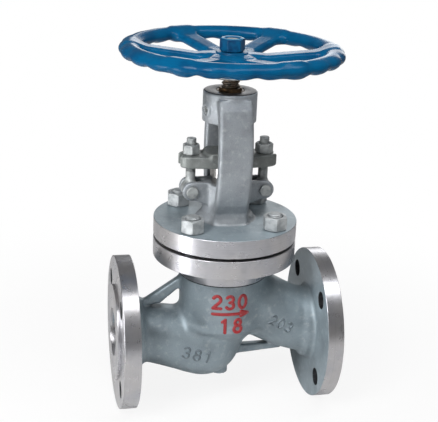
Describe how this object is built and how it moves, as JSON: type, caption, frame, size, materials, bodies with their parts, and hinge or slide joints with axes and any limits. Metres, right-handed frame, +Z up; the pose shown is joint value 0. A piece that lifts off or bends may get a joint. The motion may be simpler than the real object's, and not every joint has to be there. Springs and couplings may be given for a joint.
{
  "type": "globe valve",
  "caption": "Flanged globe valve with a rising stem, outside yoke, bolted gland and a spoked handwheel that lifts the disc off its seat.",
  "frame": {"origin": "where the stem axis crosses the axis of the pipe", "axes": "+X is the flow direction along the pipe, +Z runs up the stem to the handwheel, -Y is the marked side of the body"},
  "size_m": [0.23, 0.221, 0.3885],
  "materials": {
    "body_casting": "silver-grey paint with a green tint over cast steel, pipe and joint flange rims turned bright",
    "bonnet_casting": "silver-grey paint over cast steel, flange rim turned bright",
    "wheel_enamel": "glossy blue enamel over cast iron",
    "gland_casting": "rough grey casting",
    "trim_steel": "turned stainless steel",
    "stem_steel": "turned stainless steel, oily thread",
    "fastener_steel": "zinc-plated steel",
    "stem_nut_brass": "machined brass, darkened",
    "graphite": "matt black flexible graphite"
  },
  "bodies": {
    "housing": {"valve_body": "body_casting", "body_flange": "body_casting", "inlet_flange": "body_casting", "outlet_flange": "body_casting", "bonnet": "bonnet_casting", "gland_flange": "gland_casting", "gland_follower": "trim_steel", "seat_ring": "trim_steel", "backseat_bush": "trim_steel", "packing_washer": "trim_steel", "stem_nut": "stem_nut_brass", "stem_nut_screw": "fastener_steel", "bonnet_gasket": "graphite", "packing_ring_1": "graphite", "packing_ring_2": "graphite", "packing_ring_3": "graphite", "packing_ring_4": "graphite", "packing_ring_5": "graphite", "bonnet_stud_1": "fastener_steel", "bonnet_nut_1": "fastener_steel", "bonnet_stud_2": "fastener_steel", "bonnet_nut_2": "fastener_steel", "bonnet_stud_3": "fastener_steel", "bonnet_nut_3": "fastener_steel", "bonnet_stud_4": "fastener_steel", "bonnet_nut_4": "fastener_steel", "hinge_pin_left": "fastener_steel", "split_pin_left": "fastener_steel", "hinge_pin_right": "fastener_steel", "split_pin_right": "fastener_steel"},
    "disc_carrier": {"disc": "trim_steel", "disc_nut": "trim_steel"},
    "stem_and_wheel": {"stem": "stem_steel", "handwheel": "wheel_enamel", "handwheel_washer": "fastener_steel", "handwheel_nut": "wheel_enamel"},
    "left_eye_bolt": {"eye_bolt_left": "fastener_steel"},
    "left_gland_nut": {"gland_nut_left": "fastener_steel"},
    "right_eye_bolt": {"eye_bolt_right": "fastener_steel"},
    "right_gland_nut": {"gland_nut_right": "fastener_steel"}
  },
  "joints": [
    {"name": "disc_lift", "type": "slide", "parent": "housing", "child": "disc_carrier", "axis": [0, 0, 1], "range_m": [0, 0.0151]},
    {"name": "handwheel_turn", "type": "hinge", "parent": "disc_carrier", "child": "stem_and_wheel", "pos_m": [0, 0, 0.296], "axis": [0, 0, 1], "range_deg": [0, 1350]},
    {"name": "eye_bolt_left_swing", "type": "hinge", "parent": "housing", "child": "left_eye_bolt", "pos_m": [-0.0375, 0, 0.1555], "axis": [0, -1, 0], "range_deg": [0, 60]},
    {"name": "eye_bolt_right_swing", "type": "hinge", "parent": "housing", "child": "right_eye_bolt", "pos_m": [0.0375, 0, 0.1555], "axis": [0, 1, 0], "range_deg": [0, 60]},
    {"name": "gland_nut_left_run", "type": "slide", "parent": "left_eye_bolt", "child": "left_gland_nut", "axis": [0, 0, 1], "range_m": [0, 0.01]},
    {"name": "gland_nut_right_run", "type": "slide", "parent": "right_eye_bolt", "child": "right_gland_nut", "axis": [0, 0, 1], "range_m": [0, 0.01]}
  ],
  "couplings": [
    {"joint": "disc_lift", "follows": "handwheel_turn", "m_per_rad": 0.00063662},
    {"joint": "gland_nut_left_run", "follows": "eye_bolt_left_swing", "m_per_rad": 0.0095},
    {"joint": "gland_nut_right_run", "follows": "eye_bolt_right_swing", "m_per_rad": 0.0095}
  ]
}
